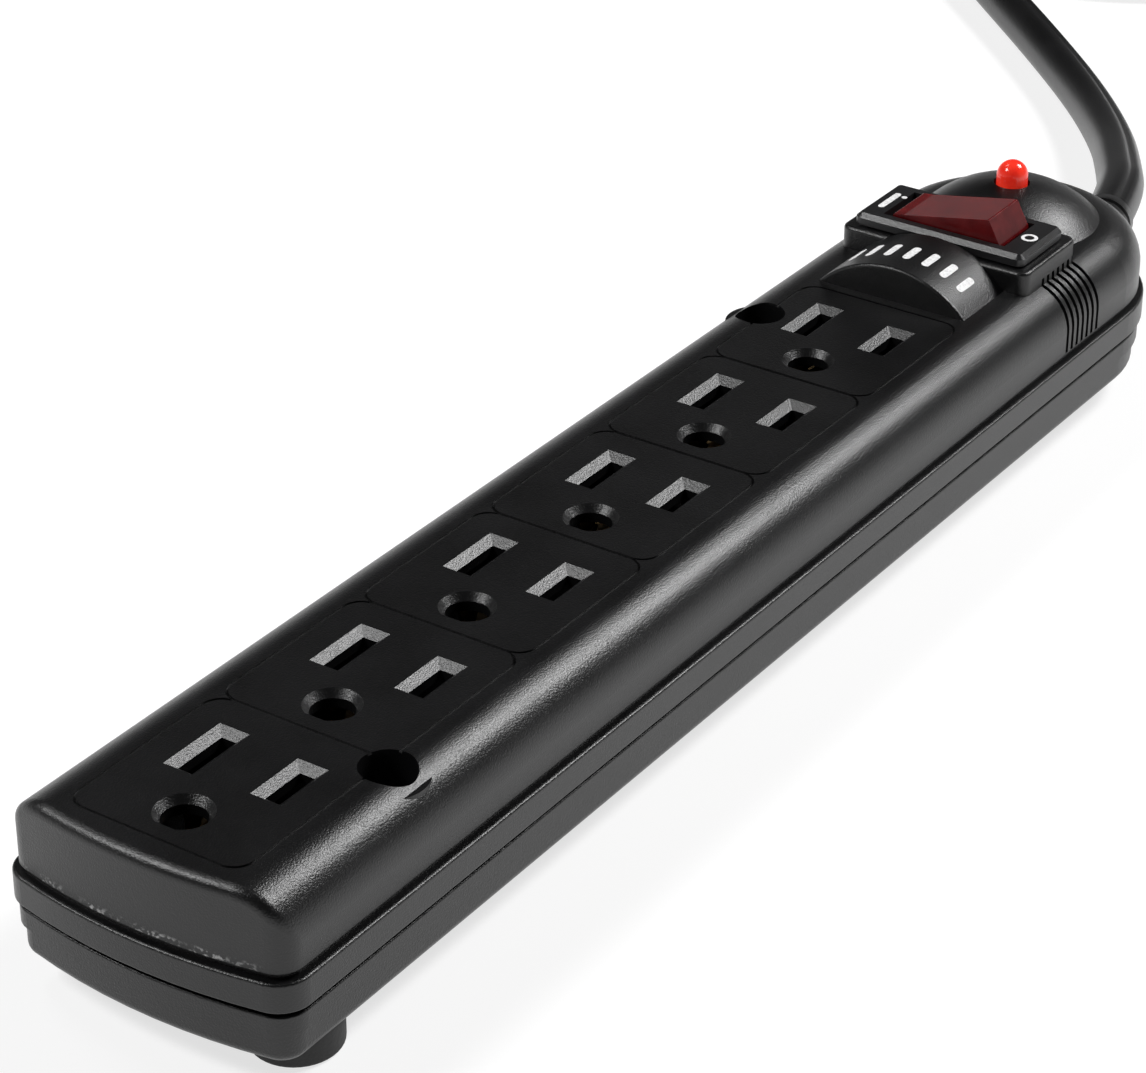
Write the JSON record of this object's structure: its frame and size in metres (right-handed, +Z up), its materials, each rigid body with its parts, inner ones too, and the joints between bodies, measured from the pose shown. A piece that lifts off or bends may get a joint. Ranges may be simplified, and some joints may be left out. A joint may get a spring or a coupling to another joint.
{
  "type": "surge protector strip",
  "caption": "Surge protector power strip with grounded outlets, red reset rocker switch, power lamp, cord and plug.",
  "frame": {"origin": "on the floor under the middle of the strip, its cord left out", "axes": "+X along the strip towards the switch and the cord, +Z up out of the outlets, +Y to the side of the neutral slots"},
  "size_m": [0.4755, 0.1537, 0.0373],
  "materials": {
    "cover_black": "satin black moulding with a fine grain",
    "tub_black": "fine-grained black moulding",
    "foot_rubber": "matt rubber",
    "screw_steel": "black zinc plated steel",
    "tray_plastic": "natural nylon",
    "brass": "stamped brass strip",
    "bezel_black": "satin black nylon",
    "rocker_red": "clear red polycarbonate",
    "pin_steel": "drawn steel wire",
    "plunger_plastic": "white acetal",
    "copper": "copper bridge with silver contacts",
    "bimetal": "bimetal strip",
    "lamp_red": "diffused red epoxy",
    "wire_red": "thin red PVC insulation",
    "board_green": "green solder mask",
    "varistor_blue": "blue epoxy coating",
    "fuse_white": "white ceramic",
    "capacitor_yellow": "yellow case",
    "resistor_tan": "tan lacquer",
    "cord_jacket": "soft black PVC",
    "tie_strap": "black woven strap",
    "plug_black": "soft black PVC moulding",
    "blade_metal": "nickel plated brass",
    "wire_black": "black PVC insulation",
    "wire_white": "white PVC insulation",
    "wire_green": "green PVC insulation"
  },
  "bodies": {
    "root": {"board_pins": "pin_steel", "bottom_cover": "tub_black", "breaker_strip": "bimetal", "bridge_post": "brass", "case_screws": "screw_steel", "clamp_screws": "screw_steel", "coil_tie": "tie_strap", "contact_tray": "tray_plastic", "cord_boot": "cord_jacket", "cord_clamp": "tray_plastic", "cord_coil": "cord_jacket", "cord_jacket_end": "cord_jacket", "cord_tail": "cord_jacket", "film_capacitor": "capacitor_yellow", "ground_bus_bar": "brass", "ground_wire": "wire_green", "hot_bus_bar": "brass", "lamp_resistor": "resistor_tan", "lamp_wires": "wire_red", "line_terminal": "brass", "line_wire": "wire_black", "load_terminal": "brass", "neutral_bus_bar": "brass", "neutral_wire": "wire_white", "plug_blades": "blade_metal", "plug_body": "plug_black", "plug_ground_pin": "blade_metal", "power_cord": "cord_jacket", "power_lamp": "lamp_red", "rocker_pivot_pin": "pin_steel", "rubber_feet": "foot_rubber", "surge_board": "board_green", "switch_housing": "bezel_black", "switched_wire": "wire_black", "thermal_fuse": "fuse_white", "top_cover": "cover_black", "varistors": "varistor_blue"},
    "rocker": {"switch_rocker": "rocker_red", "rocker_plunger": "plunger_plastic", "plunger_spring": "pin_steel"},
    "bridge": {"contact_bridge": "copper"}
  },
  "joints": [
    {"name": "rocker_tilt", "type": "hinge", "parent": "root", "child": "rocker", "pos_m": [0.07965, 0, 0.0295], "axis": [1, 0, 0], "range_deg": [0, 20]},
    {"name": "bridge_tilt", "type": "hinge", "parent": "root", "child": "bridge", "pos_m": [0.07965, 0, 0.0183], "axis": [1, 0, 0], "range_deg": [-12, 0]}
  ],
  "couplings": [
    {"joint": "bridge_tilt", "follows": "rocker_tilt", "ratio": -0.6}
  ]
}
